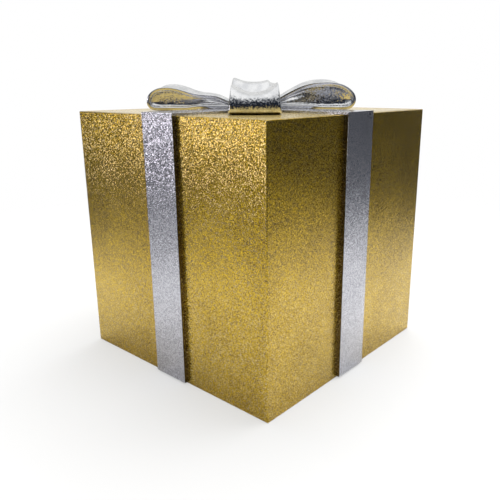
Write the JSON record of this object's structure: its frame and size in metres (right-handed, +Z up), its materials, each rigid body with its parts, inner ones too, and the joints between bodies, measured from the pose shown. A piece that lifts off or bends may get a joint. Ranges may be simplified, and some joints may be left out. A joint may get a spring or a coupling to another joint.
{
  "type": "favor box",
  "caption": "Square glitter-gold gift box with raised silver bands; its drop-in lid lifts off by a rigid cast silver bow.",
  "frame": {"origin": "middle of the base, on the surface that the box stands on", "axes": "+Z up through the bow; +X out of the right wall, -Y out of the front wall; the picture looks at the edge between those two"},
  "size_m": [0.1554, 0.1554, 0.1696],
  "materials": {
    "gold_glitter": "board painted with a fine gold glitter paint",
    "silver_glitter": "board strip painted with a fine silver glitter paint",
    "bow_silver": "cast, lightly hammered, bright silver",
    "bare_board": "bare sanded board",
    "screw_steel": "plated"
  },
  "bodies": {
    "box": {"floor_panel": "bare_board", "wall_front": "gold_glitter", "wall_right": "gold_glitter", "wall_back": "gold_glitter", "wall_left": "gold_glitter", "corner_post_front_left": "bare_board", "corner_post_front_right": "bare_board", "corner_post_back_right": "bare_board", "corner_post_back_left": "bare_board", "lid_ledge_front": "bare_board", "lid_ledge_right": "bare_board", "lid_ledge_back": "bare_board", "lid_ledge_left": "bare_board", "band_front": "silver_glitter", "band_right": "silver_glitter", "band_back": "silver_glitter", "band_left": "silver_glitter"},
    "lid": {"lid_panel": "gold_glitter", "lid_band_long": "silver_glitter", "lid_band_front": "silver_glitter", "lid_band_back": "silver_glitter", "bow_knot": "bow_silver", "bow_loop_left": "bow_silver", "bow_loop_right": "bow_silver", "bow_loop_front": "bow_silver", "bow_loop_back": "bow_silver", "bow_screws": "screw_steel", "bow_washers": "screw_steel"}
  },
  "joints": [
    {"name": "lid_lift", "type": "slide", "parent": "box", "child": "lid", "axis": [0, 0, 1], "range_m": [0, 0.12]}
  ]
}
